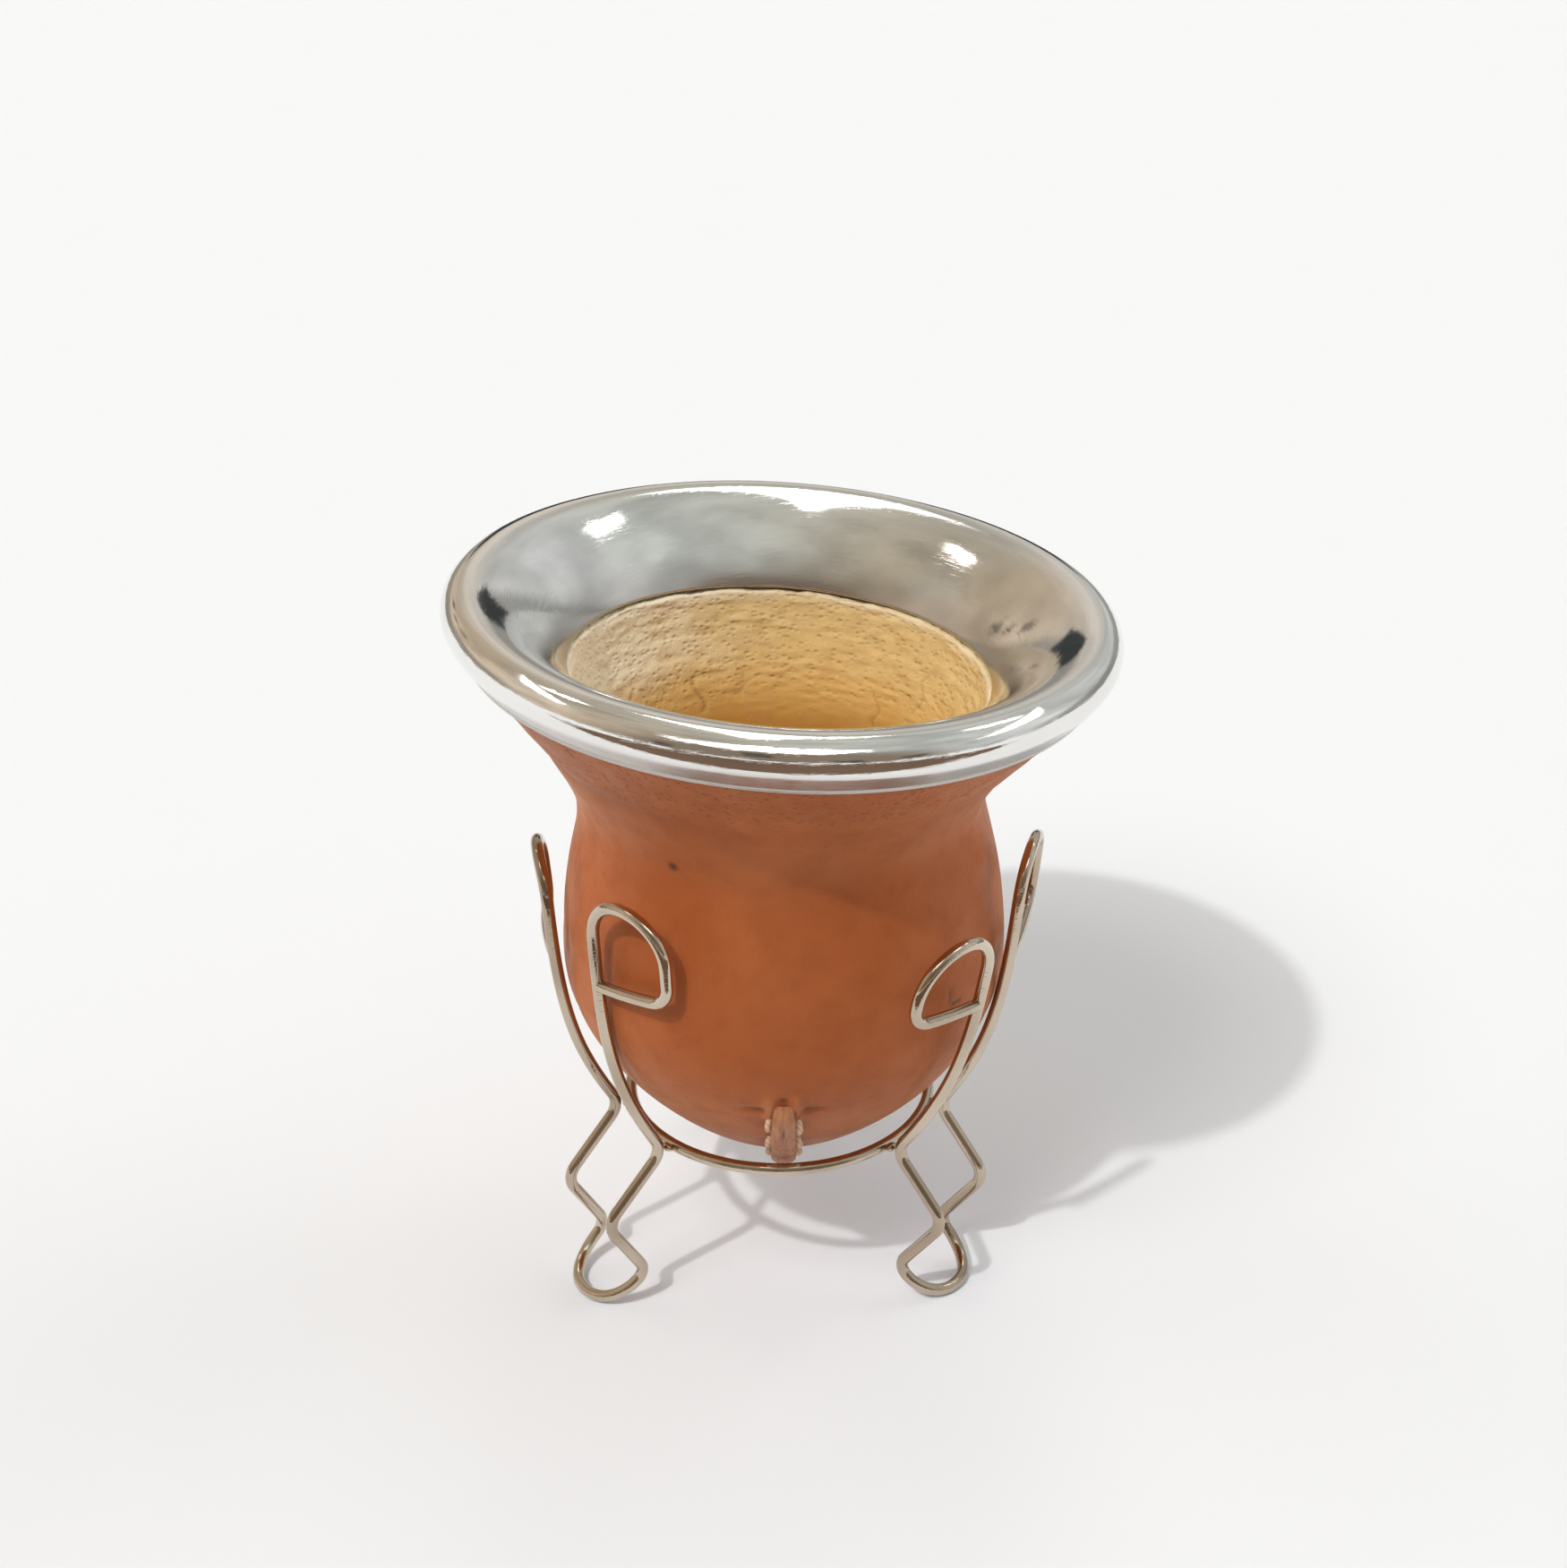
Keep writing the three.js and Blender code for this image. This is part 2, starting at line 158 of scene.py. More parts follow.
TOE_RADIUS = 31.4
TOE_FALL = 1.5
TOE_STEPS = 30
TOUCHING_REACH = 33.2

# Legs: name, azimuth, splay of the toe, and for each upright its outward slope, how flat its eyelet
# stays, and the heights of the eyelet's top and arm
LEGS = [
    ("left", -60, 1.5, [(0.035, 0.0, 67.0, 55.0), (0.02, 0.3, 69.0, 57.0)]),
    ("right", 60, -1.5, [(0.125, 0.3, 65.0, 55.0), (0.065, 0.7, 68.0, 55.0)]),
    ("back", 180, 0.0, [(0.05, 0.3, 67.5, 55.0), (0.05, 0.3, 67.5, 55.0)]),
]

# Light: azimuth and elevation of the key, and the brightness of the small highlights on the rim
KEY_DIRECTION = (-37.3, 51.3)
GLINT_RADIANCE = 1.6

# Dark shapes in the room that the rim reflects: azimuth, half width, lowest and highest elevation
ROOM_SHAPES = [
    (44.0, 4.5, 4.0, 14.0),
    (22.0, 4.5, -2.0, 10.0),
    (-5.0, 5.0, 12.0, 28.0),
    (-36.0, 3.0, 4.0, 16.0),
    (-135.0, 3.0, 19.0, 24.0),
    (-142.0, 2.5, 18.0, 21.0),
    (-151.0, 2.5, 17.0, 21.0),
]

# Camera fitted to the photo: focal length and picture height in the photo's pixels
FOCAL_PIXELS = 2720
PICTURE_HEIGHT = 1751
SENSOR = 36
CAMERA_PLACE = (0, -0.297, 0.226)
CAMERA_PITCH = 27.1


# Shapes


def flare(along, depth):
    """A point of the flare under the rim: along its slope from the skirt's edge, and into its wall."""
    return BEAD_CENTRE + SLOPE_OUT * (BEAD_RADIUS - depth) + SLOPE_UP * (along - SKIRT_LENGTH)


def bezier(*points, steps):
    """Points along a Bezier curve of any number of control points."""
    t = np.linspace(0, 1, steps + 1)[:, None]
    run = [np.repeat(np.array([p], float), steps + 1, 0) for p in points]
    while len(run) > 1:
        run = [a * (1 - t) + b * t for a, b in zip(run, run[1:])]
    return run[0]


def arc(centre, radius, start, end, steps):
    a = np.linspace(start, end, steps + 1)
    return np.stack([centre[0] + radius * np.cos(a), centre[1] + radius * np.sin(a)], 1)


def smooth(low, high, value):
    """0 at low, 1 at high, with a soft start and end; low may be above high."""
    t = np.clip((value - low) / (high - low), 0, 1)
    return t * t * (3 - 2 * t)


def bell(value, width):
    """1 where value is 0, fading within about width of it."""
    return np.exp(-((value / width) ** 2))


def value_noise(points, size, seed):
    """Smooth noise from -1 to 1 whose lumps are about size across."""
    q = points / size + 31.7 * seed + 1000.0
    cell = np.floor(q).astype(np.int64)
    f = q - cell
    f = f * f * (3 - 2 * f)
    total = np.zeros(len(points))
    for dx in (0, 1):
        for dy in (0, 1):
            for dz in (0, 1):
                n = (cell + (dx, dy, dz)) @ HASH_STEPS
                n = (n ^ (n >> 13)) * HASH_MIX & 0x7FFFFFFF
                n = (n ^ (n >> 16)) & 0xFFFF
                weight = (f[:, 0] if dx else 1 - f[:, 0]) * (f[:, 1] if dy else 1 - f[:, 1])
                total += weight * (f[:, 2] if dz else 1 - f[:, 2]) * (n / 32767.5 - 1)
    return total


def revolve(profile, segments, closed):
    """A profile of (radius, height) points turned round the axis, starting at the front."""
    profile = np.asarray(profile, float)
    count = len(profile)
    a = np.linspace(0, 2 * math.pi, segments, endpoint=False)
    x = np.outer(profile[:, 0], np.sin(a))
    y = -np.outer(profile[:, 0], np.cos(a))
    z = np.repeat(profile[:, 1:2], segments, 1)
    k = np.arange(segments)
    faces = []
    for i in range(count if closed else count - 1):
        j = (i + 1) % count
        faces.append(np.stack([i * segments + k, i * segments + (k + 1) % segments,
                               j * segments + (k + 1) % segments, j * segments + k], 1))
    return np.stack([x, y, z], 2).reshape(-1, 3), np.concatenate(faces)


def offset(outline, distance):
    """An outline that starts on the axis, moved outwards."""
    tangent = np.gradient(outline, axis=0)
    tangent /= np.linalg.norm(tangent, axis=1)[:, None]
    moved = outline + np.stack([tangent[:, 1], -tangent[:, 0]], 1) * distance
    moved[0] = (0, outline[0, 1] - distance)
    return moved


def lean(v, amount=None):
    """Turns points with the tilted rim; below the neck they stay where they are."""
    angle = RIM_TILT * (smooth(BEND_START, BEND_END, v[:, 2]) if amount is None else amount)
    rise = v[:, 2] - RIM_HEIGHT
    x = v[:, 0] * np.cos(angle) + rise * np.sin(angle)
    z = RIM_HEIGHT - v[:, 0] * np.sin(angle) + rise * np.cos(angle)
    return np.stack([x, v[:, 1], z], 1)


def point_normals(v, faces):
    n = np.cross(v[faces[:, 2]] - v[faces[:, 0]], v[faces[:, 3]] - v[faces[:, 1]])
    total = np.zeros_like(v)
    for c in range(4):
        np.add.at(total, faces[:, c], n)
    length = np.linalg.norm(total, axis=1)[:, None]
    return total / np.maximum(length, 1e-9)


def cover_outline(steps):
    """The cover's outer face, from the middle of the base up to the rim's skirt."""
    half = steps // 2
    belly = (BELLY_RADIUS, BELLY_HEIGHT)
    neck = (NECK_RADIUS, NECK_HEIGHT)
    under_belly, over_belly = ((BELLY_RADIUS, height) for height in BELLY_HANDLES)
    under_neck, over_neck = ((NECK_RADIUS, height) for height in NECK_HANDLES)
    body = bezier(COVER_BASE, BASE_HANDLE, under_belly, belly, steps=steps)
    shoulder = bezier(belly, over_belly, under_neck, neck, steps=half)
    collar = bezier(neck, over_neck, flare(-FLARE_HANDLE, COVER_SINK), flare(-GAP, COVER_SINK), steps=half)
    return np.concatenate([body, shoulder[1:], collar[1:]])


def tube(points, radius, sides, closed=False):
    """A round wire along points, with rounded ends unless it is closed."""
    points = np.asarray(points, float)
    tangent = np.gradient(points, axis=0)
    if closed:
        tangent = np.roll(points, -1, 0) - np.roll(points, 1, 0)
    tangent /= np.linalg.norm(tangent, axis=1)[:, None]
    side = np.cross(tangent[0], (0.3, 0.2, 1.0))
    frames = []
    for t in tangent:
        side = side - t * (side @ t)
        side = side / np.linalg.norm(side)
        frames.append((side, np.cross(t, side)))
    a = np.linspace(0, 2 * math.pi, sides, endpoint=False)

    def ring(centre, axes, r):
        return centre + r * (np.outer(np.cos(a), axes[0]) + np.outer(np.sin(a), axes[1]))

    def end_ring(end, way, turn):
        reach = radius[end]
        centre = points[end] + way * tangent[end] * reach * math.cos(turn)
        return ring(centre, frames[end], reach * math.sin(turn))

    radius = np.broadcast_to(radius, len(points))
    rows = [ring(point, axes, r) for point, axes, r in zip(points, frames, radius)]
    if not closed:
        turns = np.linspace(0.08, math.pi / 2, 5)[:-1]
        start = [end_ring(0, -1, turn) for turn in turns]
        end = [end_ring(-1, 1, turn) for turn in turns[::-1]]
        rows = start + rows + end
    count = len(rows)
    k = np.arange(sides)
    after = (k + 1) % sides
    faces = []
    for i in range(count if closed else count - 1):
        j = (i + 1) % count
        faces.append(np.stack([i * sides + k, i * sides + after, j * sides + after, j * sides + k], 1))
    faces = np.concatenate(faces).tolist()
    if not closed:
        faces += [list(k[::-1]), list((count - 1) * sides + k)]
    return np.concatenate(rows), faces


def round_corners(corners, steps):
    """A run of straight pieces, each a (point, rounding), with arcs for the rounded corners."""
    points = []
    for i, (point, rounding) in enumerate(corners):
        if not rounding:
            points.append(point)
            continue
        back = corners[i - 1][0] - point
        ahead = corners[i + 1][0] - point
        back = back / np.linalg.norm(back)
        ahead = ahead / np.linalg.norm(ahead)
        half = math.acos(np.clip(back @ ahead, -1, 1)) / 2
        middle = (back + ahead) / np.linalg.norm(back + ahead)
        centre = point + middle * rounding / math.sin(half)
        start = point + back * rounding / math.tan(half) - centre
        end = point + ahead * rounding / math.tan(half) - centre
        turn = math.pi - 2 * half
        for k in range(steps + 1):
            s = k / steps
            swung = math.sin((1 - s) * turn) * start + math.sin(s * turn) * end
            points.append(centre + swung / math.sin(turn))
    return points


class Surface:
    """Points of a surface, how far each moves along its normal, and how much lighter or darker it is."""

    def __init__(self, v, faces):
        self.v = v
        self.x, self.y, self.z = v.T
        self.azimuth = np.degrees(np.arctan2(self.x, -self.y))
        self.normal = point_normals(v, faces)
        self.shift = np.zeros(len(v))
        self.tone = np.zeros(len(v))

    def noise(self, size, seed, squeeze=(1, 1, 1)):
        return value_noise(self.v * squeeze, size, seed)

    def noise_around(self, size, seed):
        zero = np.zeros(len(self.v))
        return value_noise(np.stack([self.azimuth, zero, zero], 1), size, seed)

    def add(self, shape, shift, tone):
        self.shift += shift * shape
        self.tone += tone * shape

    def moved(self):
        return self.v + self.normal * self.shift[:, None]


def join(pieces):
    """Several meshes as one."""
    verts, faces, base = [], [], 0
    for v, f in pieces:
        verts.append(v)
        faces += [[i + base for i in face] for face in f]
        base += len(v)
    return np.concatenate(verts), faces


# Materials


class Nodes:
    """Short ways to add and link the nodes of a material or the world."""

    def __init__(self, tree):
        self.tree = tree
        tree.nodes.clear()

    def add(self, kind, **values):
        node = self.tree.nodes.new(kind)
        for key, value in values.items():
            setattr(node, key, value)
        return node

    def put(self, socket, value):
        if isinstance(value, bpy.types.NodeSocket):
            self.tree.links.new(value, socket)
        else:
            socket.default_value = value

    def math(self, operation, a, b=0.0, c=0.0):
        node = self.add("ShaderNodeMath", operation=operation)
        for socket, value in zip(node.inputs, (a, b, c)):
            self.put(socket, value)
        return node.outputs[0]

    def span(self, value, low, high, to_low=0.0, to_high=1.0):
        node = self.add("ShaderNodeMapRange", interpolation_type="SMOOTHSTEP")
        names = ("Value", "From Min", "From Max", "To Min", "To Max")
        for name, v in zip(names, (value, low, high, to_low, to_high)):
            self.put(node.inputs[name], v)
        return node.outputs["Result"]

    def mix(self, factor, a, b, blend="MIX"):
        node = self.add("ShaderNodeMix", data_type="RGBA", blend_type=blend)
        self.put(node.inputs[0], factor)
        self.put(node.inputs[6], a if isinstance(a, bpy.types.NodeSocket) else (*a, 1))
        self.put(node.inputs[7], b if isinstance(b, bpy.types.NodeSocket) else (*b, 1))
        return node.outputs[2]

    def noise(self, coords, scale, detail=3.0, roughness=0.55):
        node = self.add("ShaderNodeTexNoise")
        self.put(node.inputs["Vector"], coords)
        self.put(node.inputs["Scale"], scale)
        self.put(node.inputs["Detail"], detail)
        self.put(node.inputs["Roughness"], roughness)
        return node.outputs["Fac"]

    def cells(self, coords, scale):
        node = self.add("ShaderNodeTexVoronoi", feature="F1")
        self.put(node.inputs["Vector"], coords)
        self.put(node.inputs["Scale"], scale)
        return node.outputs["Distance"]

    def stretch(self, coords, scale):
        node = self.add("ShaderNodeVectorMath", operation="MULTIPLY")
        self.put(node.inputs[0], coords)
        node.inputs[1].default_value = scale
        return node.outputs[0]

    def bump(self, height, strength, distance, normal=None):
        node = self.add("ShaderNodeBump")
        self.put(node.inputs["Strength"], strength)
        self.put(node.inputs["Distance"], distance)
        self.put(node.inputs["Height"], height)
        if normal is not None:
            self.put(node.inputs["Normal"], normal)
        return node.outputs["Normal"]

    def attribute(self, name):
        return self.add("ShaderNodeAttribute", attribute_name=name).outputs["Fac"]

    def coords(self):
        return self.add("ShaderNodeTexCoord").outputs["Object"]

    def height(self, coords):
        node = self.add("ShaderNodeSeparateXYZ")
        self.put(node.inputs[0], coords)
        return node.outputs[2]


def material(name):
    """A new material, its nodes and its shader."""
    m = bpy.data.materials.new(name)
    m.use_nodes = True
    nodes = Nodes(m.node_tree)
    shader = nodes.add("ShaderNodeBsdfPrincipled")
    out = nodes.add("ShaderNodeOutputMaterial")
    m.node_tree.links.new(shader.outputs[0], out.inputs[0])
    return m, nodes, shader


def leather_material():
    m, n, shader = material("tan_leather")
    co = n.coords()
    z = n.height(co)
    collar = n.span(z, 0.0825, 0.0875)
    cloud = n.noise(co, 55.0, 3.0)
    mottle = n.noise(co, 260.0, 4.0, 0.6)
    grain = n.noise(co, 1500.0, 3.0, 0.6)
    pores = n.cells(co, 900.0)
    colour = n.mix(n.span(cloud, 0.35, 0.65), (0.325, 0.08, 0.018), (0.375, 0.1, 0.025))
    colour = n.mix(n.math("MULTIPLY", n.span(mottle, 0.45, 0.75), 0.35), colour, (0.25, 0.058, 0.016))
    pore_mark = n.math("MULTIPLY", n.span(pores, 0.34, 0.05), n.math("MULTIPLY_ADD", collar, 0.55, 0.06))
    colour = n.mix(pore_mark, colour, (0.15, 0.045, 0.02))
    tone = n.attribute("tone")
    # Tone below 0 is darker: specks, the scar, random patches, and painted shade in the crease, the wire
    # dents and about the seam. Above 0 is paler: paler hide, and a painted highlight on the ridges by the
    # seam.
    colour = n.mix(n.span(tone, 0.0, -1.0), colour, (0.075, 0.02, 0.008))
    colour = n.mix(n.span(tone, 0.0, 1.0, 0.0, 0.55), colour, (0.56, 0.25, 0.12))
    n.put(shader.inputs["Base Color"], colour)
    n.put(shader.inputs["Roughness"], n.span(mottle, 0.3, 0.7, 0.44, 0.58))
    shader.inputs["Specular IOR Level"].default_value = 0.2
    shader.inputs["Sheen Weight"].default_value = 0.18
    shader.inputs["Sheen Roughness"].default_value = 0.45
    shader.inputs["Sheen Tint"].default_value = (1.0, 0.6, 0.33, 1.0)
    fine = n.bump(grain, 0.22, 0.00025)
    pits = n.bump(n.span(pores, 0.0, 0.42), n.math("MULTIPLY_ADD", collar, 0.5, 0.05), 0.00028, fine)
    n.put(shader.inputs["Normal"], n.bump(mottle, 0.18, 0.0005, pits))
    return m


def edge_material():
    m, n, shader = material("leather_edge")
    co = n.coords()
    fibre = n.noise(n.stretch(co, (1.0, 0.25, 0.25)), 1700.0, 3.0)
    colour = n.mix(n.span(fibre, 0.3, 0.7), (0.42, 0.18, 0.085), (0.33, 0.125, 0.055))
    # Painted shade where the tone is below 0: along the line between the two edges and where they meet the
    # cover.
    colour = n.mix(n.span(n.attribute("tone"), 0.0, -1.0), colour, (0.1, 0.028, 0.014))
    n.put(shader.inputs["Base Color"], colour)
    n.put(shader.inputs["Roughness"], n.span(fibre, 0.3, 0.7, 0.55, 0.7))
    n.put(shader.inputs["Normal"], n.bump(fibre, 0.35, 0.0003))
    return m


def thread_material():
    m, n, shader = material("thread")
    co = n.coords()
    twist = n.add("ShaderNodeTexWave", wave_type="BANDS", bands_direction="DIAGONAL")
    n.put(twist.inputs["Vector"], co)
    twist.inputs["Scale"].default_value = 700.0
    twist.inputs["Distortion"].default_value = 1.5
    colour = n.mix(twist.outputs["Fac"], (0.5, 0.3, 0.17), (0.66, 0.45, 0.3))
    n.put(shader.inputs["Base Color"], colour)
    n.put(shader.inputs["Roughness"], n.span(twist.outputs["Fac"], 0.0, 1.0, 0.75, 0.6))
    n.put(shader.inputs["Normal"], n.bump(twist.outputs["Fac"], 0.3, 0.0002))
    return m


def gourd_material():
    m, n, shader = material("dry_gourd")
    co = n.coords()
    z = n.height(co)
    depth = n.math("ADD", z, n.math("MULTIPLY_ADD", n.noise(co, 130.0), 0.006, -0.003))
    rough_zone = n.span(depth, 0.0745, 0.08)
    streak = n.noise(n.stretch(co, (1.0, 1.0, 0.22)), 420.0, 4.0, 0.65)
    speck = n.noise(co, 950.0, 4.0, 0.7)
    pits = n.cells(n.stretch(co, (1.0, 1.0, 1.7)), 800.0)
    colour = n.mix(n.span(depth, 0.068, 0.09), (0.66, 0.35, 0.074), (0.68, 0.495, 0.225))
    colour = n.mix(n.math("MULTIPLY", n.span(streak, 0.42, 0.7), 0.3), colour, (0.56, 0.34, 0.13))
    pit_mark = n.math("MULTIPLY", n.span(pits, 0.3, 0.04), n.math("MULTIPLY_ADD", rough_zone, 0.2, 0.03))
    colour = n.mix(pit_mark, colour, (0.36, 0.19, 0.07))
    colour = n.mix(n.math("MULTIPLY", n.span(speck, 0.6, 0.78), 0.35), colour, (0.8, 0.68, 0.47))
    colour = n.mix(n.span(n.attribute("tone"), 0.0, -1.0), colour, (0.16, 0.085, 0.035))
    # Tone above 0 is paler: the cut lip, random patches, and painted light on the left inner wall.
    colour = n.mix(n.span(n.attribute("tone"), 0.0, 1.0, 0.0, 0.85), colour, (0.88, 0.79, 0.61))
    n.put(shader.inputs["Base Color"], colour)
    n.put(shader.inputs["Roughness"], n.span(rough_zone, 0.0, 1.0, 0.6, 0.85))
    shader.inputs["Specular IOR Level"].default_value = 0.3
    first = n.bump(n.span(pits, 0.0, 0.5), n.math("MULTIPLY_ADD", rough_zone, 0.4, 0.05), 0.0004)
    second = n.bump(speck, n.math("MULTIPLY_ADD", rough_zone, 0.35, 0.08), 0.0004, first)
    n.put(shader.inputs["Normal"], n.bump(streak, 0.2, 0.0004, second))
    return m


def metal_material(name, light, dark, roughness, wobble, scratch):
    m, n, shader = material(name)
    co = n.coords()
    shader.inputs["Metallic"].default_value = 1.0
    slow = n.noise(co, 45.0, 2.0)
    smear = n.noise(co, 380.0, 3.0)
    line = n.noise(n.stretch(co, (1.0, 1.0, 14.0)), 260.0, 3.0, 0.7)
    colour = n.mix(n.span(slow, 0.3, 0.7), light, dark)
    # Painted shade: where the tone is below 0 the metal is darker, and also rougher.
    painted_shade_and_dull = n.math("MULTIPLY", n.attribute("tone"), -1.0)
    n.put(shader.inputs["Base Color"], n.mix(n.math("MULTIPLY", painted_shade_and_dull, 0.8), colour, (0.42, 0.385, 0.345)))
    sheen = n.span(smear, 0.35, 0.75, roughness, roughness * 1.9)
    n.put(shader.inputs["Roughness"], n.math("MULTIPLY_ADD", painted_shade_and_dull, 0.12, sheen))
    lines = n.bump(n.span(line, 0.5, 0.75), scratch, 0.00006)
    n.put(shader.inputs["Normal"], n.bump(slow, wobble, 0.002, lines))
    return m


LEATHER = leather_material()
EDGE = edge_material()
THREAD = thread_material()
GOURD = gourd_material()
RIM_METAL = metal_material("polished_rim", (0.9, 0.89, 0.87), (0.83, 0.82, 0.79), 0.06, 0.05, 0.12)
WIRE_METAL = metal_material("drawn_wire", (0.66, 0.57, 0.455), (0.44, 0.35, 0.265), 0.06, 0.06, 0.12)


def piece(name, verts, faces, mat, nodes=(), tone=None):
    """A visible piece: it rides on the root body and stands in for the CAD nodes it names."""
    mesh = bpy.data.meshes.new(name)
    faces = faces.tolist() if isinstance(faces, np.ndarray) else faces
    mesh.from_pydata((np.asarray(verts) * MM).tolist(), [], faces)
    mesh.polygons.foreach_set("use_smooth", [True] * len(mesh.polygons))
    if tone is not None:
        mesh.attributes.new("tone", "FLOAT", "POINT").data.foreach_set("value", np.asarray(tone, np.float32))
    mesh.set_sharp_from_angle(angle=math.radians(55))
    mesh.materials.append(mat)
    obj = bpy.data.objects.new(name, mesh)
    bpy.context.collection.objects.link(obj)
    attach(obj, "root")
    if nodes:
        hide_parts(*nodes)
    return obj


# Wires: where the legs run


def cradle(height, slope):
    """How far out an upright runs at a height."""
    rise = height - RING_HEIGHT
    return WELD + CRADLE_SPREAD * math.tanh(rise / CRADLE_RISE) + slope * rise


def splayed_by(splay, height):
    return splay * (1 - height / RING_HEIGHT)


def toe_point(splay, share):
    """A point of the looped toe, from one shank (0) round the front to the other (1)."""
    turn = math.pi * (0.5 - share)
    drop = (1 - math.cos(turn)) ** TOE_FALL
    height = WIRE + (INNER_KNEE[1] - WIRE) * drop
    outward = INNER_KNEE[0] + (TOE_RADIUS - INNER_KNEE[0]) * math.cos(turn) + splayed_by(splay, height)
    return np.array([outward, LEG_HALF_WIDTH * math.sin(turn), height])


def half_leg(splay, slope, flatness, top, arm):
    """One side of a leg: the eyelet and upright, drawn flat and rolled round the gourd, and the shank."""

    def flat(along, height, rounding=0):
        return np.array([along, height, 0.0]), rounding

    def knee(r, z):
        return np.array([r + splayed_by(splay, z), LEG_HALF_WIDTH, z])

    unrolled = [
        flat(EYELET_ARM_END, arm - EYELET_ARM_FALL),
        flat(EYELET_WIDTH, arm, EYELET_CORNER),
        flat(EYELET_WIDTH, top, min(EYELET_CROWN, top - arm - EYELET_CORNER)),
        flat(0, top, EYELET_CROWN),
    ]
    start = top - UPRIGHT_START
    for i in range(1, UPRIGHT_STEPS - 2):
        unrolled.append(flat(0, start + (RING_HEIGHT - start) * i / UPRIGHT_STEPS))
    rounded = round_corners(unrolled, 12)
    filled = []
    for a, b in zip(rounded, rounded[1:]):
        parts = max(1, int(np.linalg.norm(b - a) / WIRE_STEP))
        filled += [a + (b - a) * i / parts for i in range(parts)]
    wrapped = []
    for along, height, _ in filled + [rounded[-1]]:
        d = cradle(height, slope)
        angle = math.asin(LEG_HALF_WIDTH / d) + along / d
        r = d + flatness * along**2 / (2 * d)
        wrapped.append(np.array([r * math.cos(angle), r * math.sin(angle), height]))
    lower = round_corners([
        (wrapped[-1], 0),
        (knee(math.sqrt(WELD**2 - LEG_HALF_WIDTH**2), RING_HEIGHT), WELD_ROUNDING),
        (knee(*OUTER_KNEE), OUTER_KNEE_ROUNDING),
        (knee(*INNER_KNEE), INNER_KNEE_ROUNDING),
        (toe_point(splay, 3 / TOE_STEPS), 0),
    ], 10)
    return wrapped + lower[1:-1]


def turned(points, azimuth):
    """Points of a leg drawn along +X, turned to its azimuth and moved with the stand."""
    a = math.radians(azimuth - 90)
    p = np.asarray(points, float)
    x = p[:, 0] * math.cos(a) - p[:, 1] * math.sin(a)
    y = p[:, 0] * math.sin(a) + p[:, 1] * math.cos(a)
    return np.stack([x, y, p[:, 2]], 1) + STAND_SHIFT


LEG_PATHS = {}
for leg_name, azimuth, splay, uprights in LEGS:
    path = half_leg(splay, *uprights[1])
    path += [toe_point(splay, i / TOE_STEPS) for i in range(3, TOE_STEPS - 2)]
    path += [p * (1, -1, 1) for p in half_leg(splay, *uprights[0])[::-1]]
    LEG_PATHS[leg_name] = turned(path, azimuth)


# Leather cover


def seam_path(steps):
    """Points (y, z) of the cover's outline in the seam's plane from front to back, with outward normals."""
    outline = cover_outline(steps)
    outline = outline[outline[:, 1] < SEAM_TOP + 0.2]
    tangent = np.gradient(outline, axis=0)
    tangent /= np.linalg.norm(tangent, axis=1)[:, None]
    normal = np.stack([tangent[:, 1], -tangent[:, 0]], 1)
    normal[0] = (0, -1)
    front = np.concatenate([outline[::-1] * (-1, 1), outline[1:]])
    normals = np.concatenate([normal[::-1] * (-1, 1), normal[1:]])
    return front, normals


SEAM, SEAM_NORMAL = seam_path(200)
SEAM_RUN = np.concatenate([[0], np.cumsum(np.linalg.norm(np.diff(SEAM, axis=0), axis=1))])
STITCH_RUNS = np.arange(FIRST_STITCH, SEAM_RUN[-1] - LAST_STITCH, STITCH_PITCH)


def seam_at(run):
    """The seam's point and outward normal at a distance along it."""
    place = np.array([np.interp(run, SEAM_RUN, SEAM[:, i]) for i in (0, 1)])
    normal = np.array([np.interp(run, SEAM_RUN, SEAM_NORMAL[:, i]) for i in (0, 1)])
    return place, normal / np.linalg.norm(normal)


def uneven_hide(skin):
    """Slow waves of the hide, the crease below the collar with painted shade in it, and the collar's coarse
    grain.
    """
    skin.add(skin.noise(15.0, 1), 0.14, 0)
    skin.add(skin.noise(6.0, 2) * smooth(30, 45, skin.z), 0.07, 0)
    skin.add(skin.noise(22.0, 3), 0, 0.2)
    depth = 1 + 0.5 * skin.noise_around(25.0, 4)
    crease = bell(skin.z - CREASE_HEIGHT - 0.8 * skin.noise(12.0, 5), 1.5)
    # Painted shade in the crease.
    skin.add(crease * depth, -0.28, -0.25)
    collar = smooth(83.5, 87, skin.z)
    skin.add(collar * skin.noise(1.3, 6), 0.07, 0)
    skin.add(collar * skin.noise(1.6, 7), 0, 0.22)


def wire_marks(skin):
    """Faint dents with a little painted shade along the uprights, where they touch the belly."""
    radius = np.hypot(skin.x, skin.y)
    for path in LEG_PATHS.values():
        for px, py, pz in path[(path[:, 2] > 38) & (path[:, 2] < 60)]:
            reach = math.hypot(px, py)
            if reach > TOUCHING_REACH:
                continue
            beside = np.hypot(skin.x - px * radius / reach, skin.y - py * radius / reach)
            # Dent with painted shade beside the wire.
            skin.add(bell(skin.z - pz, 1.4) * bell(beside, 1.5), -0.05, -0.05)


